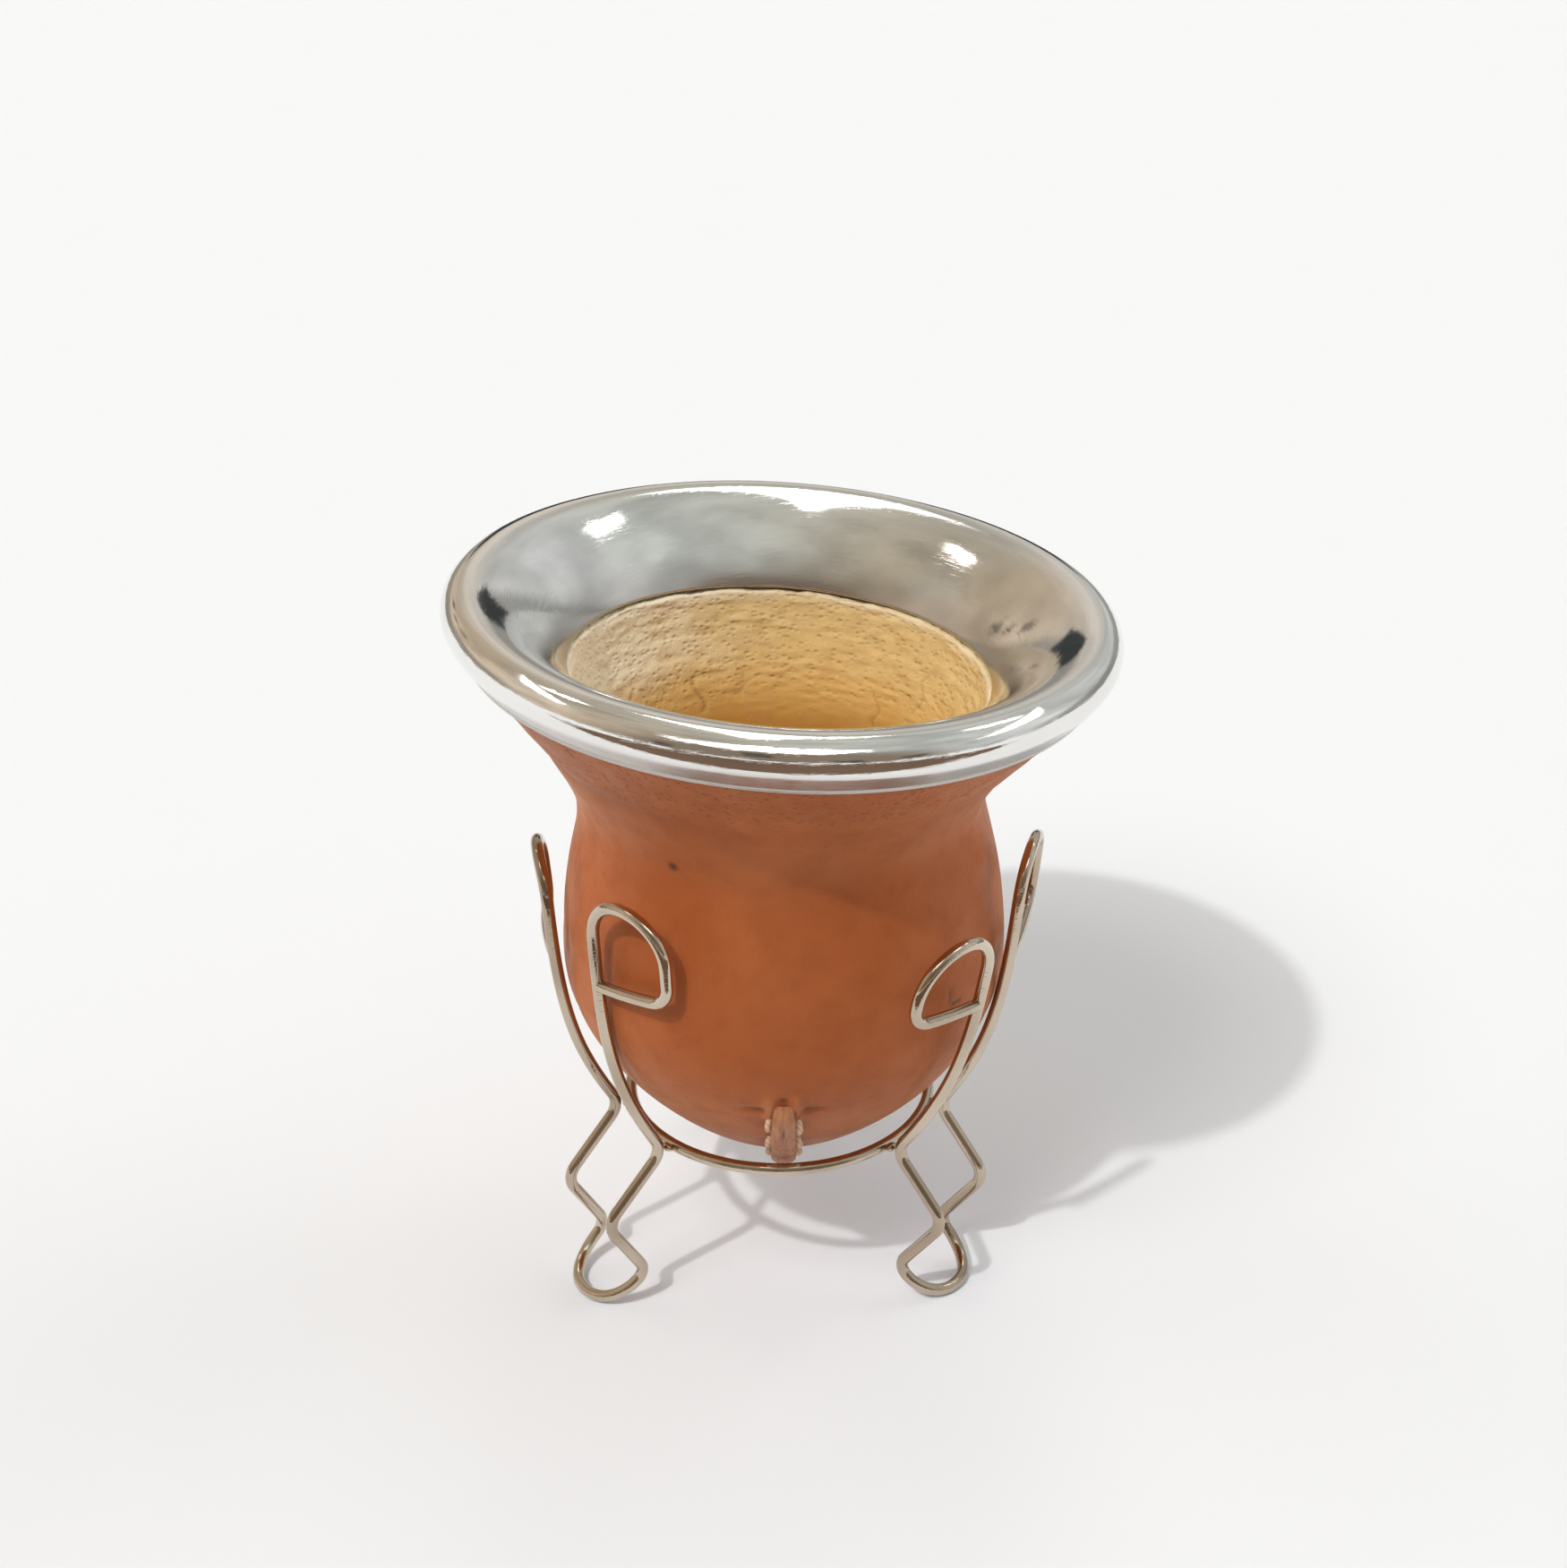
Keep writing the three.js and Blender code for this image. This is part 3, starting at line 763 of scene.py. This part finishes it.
def seam_pinch(skin, outside):
    """The leather drawn in to the seam: a ridge with a painted highlight and a dimple with painted shade at
    each side of its ends, a hollow with painted shade above, and painted shade where the stitches pull and
    along the seam's root.
    """
    x, y, z = skin.x, skin.y, skin.z
    up = z - SEAM_TOP
    near = (up < 3.5) & outside
    for side in (-1, 1):
        away = x * side
        # Painted highlight on the ridge.
        ridge = bell(away - 1.75, 0.75) * smooth(4.0, 0.5, up) * smooth(-6.0, -0.5, up)
        skin.add(ridge * near, 0.5, 0.5)
        # Painted shade in the dimple.
        dimple = smooth(2.0, 2.7, away) * smooth(7.5, 3.0, away) * bell(up + 1.1 - 0.12 * (away - 3), 0.75)
        skin.add(dimple * near, -0.5, -0.5)
    # Painted shade in the hollow.
    hollow = bell(x, 1.0) * bell(up - 1.0, 1.1)
    skin.add(hollow * near, -0.4, -0.56)
    for run in STITCH_RUNS:
        place, _ = seam_at(run)
        for side in (-1, 1):
            # Painted shade where the stitch pulls the leather in.
            pull = bell(x - side * 2.9, 0.8) * bell(np.hypot(y - place[0], z - place[1]), 1.6)
            skin.add(pull * outside, -0.2, -0.2)
    # Painted shade along the seam's root.
    root = bell(np.abs(x) - 1.75, 0.6) * smooth(0.0, -2.0, up)
    skin.add(root * near, 0, -0.4)


def hide_marks(skin):
    """A dark speck, a small scar, and paler hide at the sides of the neck."""
    speck = np.hypot(np.radians(skin.azimuth + 29.0) * NECK_RADIUS, skin.z - 74.5)
    skin.add(bell(speck, 0.7), 0, -1.0)
    scar_x = np.radians(skin.azimuth - 46.4) * 31
    scar_z = skin.z - 53.4
    stroke = bell(scar_x, 0.32) * smooth(-1.8, -1.2, scar_z) * smooth(1.2, 0.6, scar_z)
    foot = bell(scar_z + 1.6, 0.32) * smooth(-0.4, 0.2, scar_x) * smooth(2.6, 2.0, scar_x)
    skin.add(np.maximum(stroke, foot), -0.1, -0.75)
    streaks = 0.6 + 0.8 * np.maximum(0, skin.noise(3.0, 8, (1, 1, 3.0)))
    for side in (-1, 1):
        stress = bell(skin.azimuth - side * 72, 20) * bell(skin.z - 76, 5.5)
        skin.add(stress * streaks, 0, 0.35)


def make_cover():
    outer = cover_outline(150)
    inner = offset(cover_outline(24), -COVER_THICKNESS)[::-1]
    tongue = [
        flare(-GAP, TONGUE_DEPTH),
        flare(TONGUE_LENGTH, TONGUE_DEPTH),
        flare(TONGUE_LENGTH, COVER_SINK + COVER_THICKNESS),
    ]
    start = [(AXIS_RADIUS, outer[0, 1])]
    end = [(AXIS_RADIUS, inner[-1, 1])]
    v, faces = revolve(np.concatenate([start, outer[1:], tongue, inner[:-1], end]), SEGMENTS, False)
    outside = np.arange(len(v)) < len(outer) * SEGMENTS
    skin = Surface(v, faces)
    uneven_hide(skin)
    wire_marks(skin)
    seam_pinch(skin, outside)
    hide_marks(skin)
    skin.shift *= outside & (skin.z < COLLAR_TOP)
    tone = np.clip(skin.tone, -1, 1)
    piece("leather_skin", lean(skin.moved()), faces, LEATHER, ["leather_cover"], tone)


def make_keel():
    """The two edges of the leather, standing up side by side along the seam."""
    width = SEAM_HALF_WIDTH
    u = np.concatenate([[-width], np.linspace(-width, width, 27), [width]])
    lobe = 1 - 0.32 * np.abs(u / width) ** 3 - 0.05 * bell(u, 0.3)
    rows = []
    tone = []
    for place, normal, run in zip(SEAM, SEAM_NORMAL, SEAM_RUN):
        below = np.clip((SEAM_TOP - place[1]) / SEAM_ROUNDING, 0, 1)
        height = SEAM_HEIGHT * math.sqrt(max(0.0, 1 - (1 - below) ** 2))
        narrow = 0.72 + 0.28 * math.sqrt(below)
        wave = 0.08 * math.sin(run * 1.7) + 0.05 * math.sin(run * 0.9 + 1)
        h = height * lobe + wave * below
        h[0] = -SEAM_ROOT
        h[-1] = -SEAM_ROOT
        sway = 0.05 * math.sin(run * 0.6)
        rows.append(np.stack([u * narrow + sway, place[0] + normal[0] * h, place[1] + normal[1] * h], 1))
        # Painted shade along the line between the two edges and where they meet the cover.
        parting_shade = 0.22 * bell(u, 0.35) + 0.55 * bell(u, 0.22) * bell(run - 4.2, 1.5)
        dark = 0.25 * bell(u - 0.8, 0.4) - parting_shade
        dark[[0, 1, -2, -1]] = -0.45
        tone.append(dark)
    n = len(u)
    k = np.arange(n - 1)
    faces = []
    for i in range(len(rows) - 1):
        faces.append(np.stack([i * n + k, i * n + k + 1, (i + 1) * n + k + 1, (i + 1) * n + k], 1))
    faces = np.concatenate(faces)[:, ::-1]
    piece("seam_edges", np.concatenate(rows), faces, EDGE, (), np.concatenate(tone))


def make_stitches():
    """Long stitches of thick thread along both flanks of the seam, each diving in at its ends."""
    reach = np.linspace(-1, 1, 15)
    swell = np.sqrt(np.maximum(0, 1 - reach**2))
    stitches = []
    for run in STITCH_RUNS:
        for side, length, thickness in ((-1, 2.1, 0.52), (1, 2.5, 0.62)):
            points = []
            for r, up in zip(reach, swell):
                place, normal = seam_at(run + r * length + 0.3 * side)
                high = -0.5 + 1.15 * up
                out = side * (1.62 + 0.42 * up)
                points.append((out, place[0] + normal[0] * high, place[1] + normal[1] * high))
            stitches.append(tube(points, thickness * (0.55 + 0.45 * swell), 14))
    v, f = join(stitches)
    piece("seam_stitches", v, f, THREAD)


# Gourd, rim and stand


def gourd_outline():
    """The shell's outline, and how many of its points are hidden by the leather and the metal."""
    neck = (INSIDE_NECK_RADIUS, INSIDE_NECK_HEIGHT)
    belly = (INSIDE_BELLY_RADIUS, INSIDE_BELLY_HEIGHT)
    under_neck, over_neck = ((INSIDE_NECK_RADIUS, height) for height in INSIDE_NECK_HANDLES)
    under_belly, over_belly = ((INSIDE_BELLY_RADIUS, height) for height in INSIDE_BELLY_HANDLES)
    lip_centre = (LIP_RADIUS + LIP_ROUNDING, LIP_HEIGHT - LIP_ROUNDING)
    base = (AXIS_RADIUS, INSIDE_BASE_HEIGHT)
    outer = offset(cover_outline(40), -COVER_THICKNESS - GAP)
    outer[0, 0] = AXIS_RADIUS
    shelf = bezier(SHELF_START, SHELF_HANDLE, (LIP_OUTSIDE, LIP_HEIGHT), steps=10)
    lip_line = np.stack([np.linspace(LIP_OUTSIDE, lip_centre[0], 8), np.full(8, LIP_HEIGHT)], 1)
    lip = arc(lip_centre, LIP_ROUNDING, math.pi / 2, math.pi, 8)
    mouth = bezier((LIP_RADIUS, lip_centre[1]), MOUTH_HANDLE, over_neck, neck, steps=70)
    shoulder = bezier(neck, under_neck, over_belly, belly, steps=30)
    bowl = bezier(belly, under_belly, (INSIDE_BASE_HANDLE, INSIDE_BASE_HEIGHT), base, steps=40)
    profile = np.concatenate([outer, shelf, lip_line[1:-1], lip, mouth[1:], shoulder[1:], bowl[1:]])
    return profile, len(outer) + len(shelf)


def make_gourd():
    profile, hidden = gourd_outline()
    v, faces = revolve(profile, SEGMENTS, False)
    shell = Surface(v, faces)
    z = shell.z
    rough = smooth(74.5, 80.5, z + 1.5 * shell.noise(9.0, 11))
    pits = np.maximum(0, shell.noise(0.9, 12) - 0.15)
    pits += 0.5 * np.maximum(0, shell.noise(1.8, 13, (0.8, 0.8, 1.5)))
    fibre = shell.noise(1.1, 14, (0.5, 0.5, 1.6))
    shell.add(rough * pits, -0.18, -0.12)
    shell.add(rough * fibre, 0.2, 0)
    shell.add((1 - rough) * fibre, 0.04, 0)
    shell.add(shell.noise(8.0, 15), 0.2, 0)
    near_lip = bell(z - LIP_HEIGHT, 1.2)
    shell.add(near_lip, 0.16 * shell.noise_around(4.0, 16) + 0.08 * shell.noise(0.8, 17), 0.5)
    # Painted light on the upper inner wall at the left, which turns paler.
    pale = bell(shell.azimuth + 105, 55) * smooth(77, 84, z)
    shell.add(pale, 0, 0.9)
    shell.add(shell.noise(5.0, 18), 0, 0.15)
    for azimuth, low, high, width, depth in CRACKS:
        along = smooth(low - 0.8, low, z) * smooth(high + 0.8, high, z)
        bend = 0.6 * np.sin(z * 1.3 + azimuth)
        across = np.radians(shell.azimuth - azimuth) * 24 - bend
        shell.add(bell(across, width) * along, -0.4 * depth, -0.7 * depth)
    shell.shift *= np.arange(len(v)) >= hidden * SEGMENTS
    tone = np.clip(shell.tone, -1, 1)
    piece("gourd_shell", lean(shell.moved()), faces, GOURD, ["gourd"], tone)


def make_rim():
    hem_start = -SKIRT_ANGLE - HEM_TURN
    hem = arc(flare(HEM_RADIUS, HEM_SINK), HEM_RADIUS, hem_start, -SKIRT_ANGLE + HEM_END, 16)
    skirt = [flare(along, 0) for along in SKIRT_STATIONS]
    bead = arc(BEAD_CENTRE, BEAD_RADIUS, -SKIRT_ANGLE, math.pi / 2, 48)
    crown = bead[-1]
    throat = np.array([THROAT_RADIUS, LIP_HEIGHT + GAP])
    funnel = bezier(crown, crown + CROWN_HANDLE, throat + THROAT_HANDLE, throat + (0, THROAT_EDGE), steps=64)
    edge = arc(throat + THROAT_EDGE, THROAT_EDGE, math.pi, 2 * math.pi, 10)
    under = bezier(throat + UNDERSIDE_STEP, UNDERSIDE_HANDLE, UNDERSIDE_END, steps=12)
    pocket = [flare(POCKET_RISE, SKIRT_THICKNESS)]
    profile = np.concatenate([hem, skirt, bead, funnel[1:], edge[1:], under[1:], pocket])
    v, faces = revolve(profile, RIM_SEGMENTS, True)
    metal = Surface(v, faces)
    reach = np.hypot(metal.x, metal.y)
    # Painted shade: darker, rougher metal on the skirt and the underside, and towards the throat.
    metal.add(smooth(98.0, 96.6, metal.z) * smooth(37.0, 38.0, reach), 0, -1.0)
    metal.add(smooth(32.0, 28.8, reach), 0, -0.75)
    metal.add(metal.noise(11.0, 21), 0.03, 0)
    metal.add(metal.noise(30.0, 22), 0.05, 0)
    piece("rim_metal", lean(metal.moved(), 1.0), faces, RIM_METAL, ["rim"], metal.tone)


def make_welds():
    """Small beads where the legs meet the ring."""
    run = np.linspace(-1, 1, 9)
    thickness = 0.5 * np.sqrt(1 - 0.8 * run**2) + 0.12
    middle = RING_RADIUS + WIRE + GAP / 2
    welds = []
    for _, azimuth, _, _ in LEGS:
        for side in (-1, 1):
            angle = side * math.asin(LEG_HALF_WIDTH / WELD)
            out = np.array([math.cos(angle), math.sin(angle), 0])
            across = np.array([-math.sin(angle), math.cos(angle), 0])
            points = out * middle + np.outer(run * 0.75, across) + (0, 0, RING_HEIGHT)
            welds.append(tube(turned(points, azimuth), thickness, 12))
    v, f = join(welds)
    piece("ring_welds", v, f, WIRE_METAL)


def make_stand():
    a = np.linspace(0, 2 * math.pi, 160, endpoint=False)
    circle = np.stack([RING_RADIUS * np.cos(a), RING_RADIUS * np.sin(a), np.full(len(a), RING_HEIGHT)], 1)
    v, f = tube(circle + STAND_SHIFT, WIRE, 20, closed=True)
    piece("ring_wire", v, f, WIRE_METAL, ["stand_ring"])
    for name, path in LEG_PATHS.items():
        v, f = tube(path, WIRE, 20)
        piece("leg_wire_" + name, v, f, WIRE_METAL, ["stand_leg_" + name])
    make_welds()


make_cover()
make_keel()
make_stitches()
make_gourd()
make_rim()
make_stand()


# Floor, light and camera


def sheet(name, corners, mat):
    """A flat sheet of the stage, which isn't part of the object."""
    mesh = bpy.data.meshes.new(name)
    mesh.from_pydata(corners, [], [list(range(len(corners)))])
    mesh.materials.append(mat)
    obj = bpy.data.objects.new(name, mesh)
    bpy.context.collection.objects.link(obj)
    return obj


def make_floor():
    m, n, shader = material("pale_floor")
    fleck = n.noise(n.coords(), 30.0, 2.0)
    n.put(shader.inputs["Base Color"], n.mix(fleck, (0.742, 0.747, 0.75), (0.752, 0.757, 0.76)))
    shader.inputs["Roughness"].default_value = 0.9
    shader.inputs["Specular IOR Level"].default_value = 0.0
    shader.inputs["Emission Color"].default_value = (0.02, 0.4, 1, 1)
    shader.inputs["Emission Strength"].default_value = 0.045
    reach = 4
    sheet("floor", [(-reach, -reach, 0), (reach, -reach, 0), (reach, reach, 0), (-reach, reach, 0)], m)


def make_card():
    """A dark card lying on the floor in front, which only shows as a reflection in the metal."""
    m, n, shader = material("dark_card")
    fleck = n.noise(n.coords(), 3.0)
    n.put(shader.inputs["Base Color"], n.mix(fleck, (0.13, 0.085, 0.06), (0.17, 0.115, 0.085)))
    shader.inputs["Roughness"].default_value = 1.0
    shader.inputs["Specular IOR Level"].default_value = 0.0
    over_floor = 0.0015
    outline = [(-0.4, -0.1), (0.4, -0.1), (0.5, -0.9), (-0.5, -0.9)]
    card = sheet("floor_card", [(x, y, over_floor) for x, y in outline], m)
    card.visible_camera = False
    card.visible_diffuse = False
    card.visible_shadow = False
    card.visible_transmission = False


class Room(Nodes):
    """Nodes of the world, with the direction a ray looks in as an azimuth and an elevation in degrees.

    Azimuth 0 is the front and behind counts from the back, both growing towards +X.
    """

    def __init__(self, tree):
        super().__init__(tree)
        self.direction = self.add("ShaderNodeTexCoord").outputs["Generated"]
        axes = self.add("ShaderNodeSeparateXYZ")
        self.put(axes.inputs[0], self.direction)
        self.x, self.y, z = axes.outputs
        front = self.math("MULTIPLY", self.y, -1.0)
        self.azimuth = self.degrees(self.math("ARCTAN2", self.x, front))
        self.behind = self.degrees(self.math("ARCTAN2", self.x, self.y))
        self.elevation = self.degrees(self.math("ARCSINE", z))

    def degrees(self, angle):
        return self.math("MULTIPLY", angle, 180 / math.pi)

    def times(self, a, b):
        return self.math("MULTIPLY", a, b)

    def window(self, value, low, high, soft):
        rise = self.span(value, low - soft, low + soft)
        return self.times(rise, self.span(value, high + soft, high - soft))

    def patch(self, azimuths, elevations, soft, strength):
        across = self.window(self.azimuth, *azimuths, soft)
        shape = self.times(across, self.window(self.elevation, *elevations, soft))
        return self.times(shape, strength)


def room_colour(n):
    """Walls and ceiling, warmer on the left, with the dark doorways and furniture that the rim shows."""
    walls = n.mix(n.span(n.x, -0.5, 0.5), (0.64, 0.525, 0.4), (0.6, 0.61, 0.605))
    ceiling = n.mix(n.span(n.x, -0.6, 0.6), (0.45, 0.39, 0.3), (0.58, 0.605, 0.575))
    colour = n.mix(n.span(n.elevation, 34.0, 46.0), walls, ceiling)
    cloud = n.span(n.noise(n.direction, 3.5, 3.0), 0.3, 0.7, 0.8, 1.16)
    colour = n.mix(1.0, colour, cloud, "MULTIPLY")
    skirting = n.times(n.span(n.elevation, 15.0, 8.0), n.span(n.y, -0.2, 0.3))
    colour = n.mix(n.times(skirting, 0.7), colour, (0.2, 0.2, 0.185))
    corner = n.times(n.window(n.azimuth, -160.0, -122.0, 12.0), n.window(n.elevation, 26.0, 48.0, 8.0))
    colour = n.mix(n.times(corner, 0.5), colour, (0.36, 0.28, 0.185))
    front = n.times(n.span(n.y, -0.35, -0.8), n.span(n.elevation, 50.0, 36.0))
    colour = n.mix(front, colour, (0.27, 0.215, 0.165))
    doors = n.math("ADD", n.window(n.behind, 6.5, 13.5, 0.8), n.window(n.behind, -12.5, -3.0, 0.8))
    colour = n.mix(n.times(n.span(n.elevation, 18.0, 16.0), doors), colour, (0.045, 0.05, 0.05))
    for at, half_width, low, high in ROOM_SHAPES:
        across = n.window(n.azimuth, at - half_width, at + half_width, 1.2)
        shape = n.times(across, n.window(n.elevation, low, high, 1.5))
        colour = n.mix(n.times(shape, 0.75), colour, (0.07, 0.06, 0.06))
    return colour


def room_lamps(n):
    """A bright box over the back, two pale side walls and two small lamps."""
    box = n.times(n.window(n.behind, -9.0, 18.0, 1.5), n.window(n.elevation, 49.0, 86.0, 2.0))
    total = n.times(box, 2.4)
    for azimuths, elevations, soft, strength in (
        ((-108, -78), (16, 50), 9.0, 0.12),
        ((76, 108), (10, 42), 9.0, 0.16),
        ((120, 132), (45, 53), 2.0, 3.2),
        ((-129, -119), (52, 60), 2.0, 3.2),
    ):
        total = n.math("ADD", total, n.patch(azimuths, elevations, soft, strength))
    return total


def make_world():
    """A plain soft room, which the camera itself sees as an even pale backdrop."""
    world = bpy.data.worlds.new("studio")
    bpy.context.scene.world = world
    world.use_nodes = True
    n = Room(world.node_tree)
    glow = n.mix(1.0, room_colour(n), room_lamps(n), "ADD")
    seen = n.mix(n.add("ShaderNodeLightPath").outputs["Is Camera Ray"], glow, (0.947, 0.947, 0.947))
    background = n.add("ShaderNodeBackground")
    n.put(background.inputs["Color"], seen)
    background.inputs["Strength"].default_value = 0.95
    out = n.add("ShaderNodeOutputWorld")
    n.put(out.inputs[0], background.outputs[0])


def make_light():
    """The key light from the front left, part crisp and part soft, and a broad fill light from each side."""
    for name, energy, spread, azimuth, elevation in (
        ("key", 1.25, 2.0, *KEY_DIRECTION),
        ("key_soft", 0.9, 24.0, *KEY_DIRECTION),
        ("fill_right", 1.7, 50.0, 108.0, 8.0),
        ("fill_left", 1.0, 50.0, -105.0, 8.0),
    ):
        lamp = bpy.data.lights.new(name, "SUN")
        lamp.energy = energy
        lamp.angle = math.radians(spread)
        obj = bpy.data.objects.new(name, lamp)
        obj.rotation_euler = Euler((math.radians(90 - elevation), 0, math.radians(azimuth)))
        obj.visible_glossy = False
        bpy.context.collection.objects.link(obj)


def make_glints():
    """Small lights close over the rim's edge that only draw highlights on it."""
    for place, turn, size in (
        ((-2.5, -66.3, 120.1), (-30, 0), (38, 40)),
        ((-48.5, -30, 121), (0, 30), (24, 16)),
        ((49, -33, 113), (0, -23.6), (28, 20)),
    ):
        lamp = bpy.data.lights.new("glint", "AREA")
        lamp.shape = "RECTANGLE"
        lamp.size, lamp.size_y = (side * MM for side in size)
        lamp.energy = GLINT_RADIANCE * math.pi * lamp.size * lamp.size_y
        obj = bpy.data.objects.new("glint", lamp)
        obj.location = [c * MM for c in place]
        obj.rotation_euler = Euler((math.radians(turn[0]), math.radians(turn[1]), 0))
        obj.visible_camera = False
        obj.visible_diffuse = False
        obj.visible_transmission = False
        bpy.context.collection.objects.link(obj)


def make_camera():
    data = bpy.data.cameras.new("camera")
    data.lens = FOCAL_PIXELS * SENSOR / PICTURE_HEIGHT
    data.sensor_width = SENSOR
    data.clip_start = 0.01
    obj = bpy.data.objects.new("camera", data)
    obj.location = CAMERA_PLACE
    obj.rotation_euler = Euler((math.radians(90 - CAMERA_PITCH), 0, 0))
    bpy.context.collection.objects.link(obj)
    bpy.context.scene.camera = obj


make_floor()
make_card()
make_world()
make_light()
make_glints()
make_camera()
bpy.context.scene.view_settings.view_transform = "Standard"
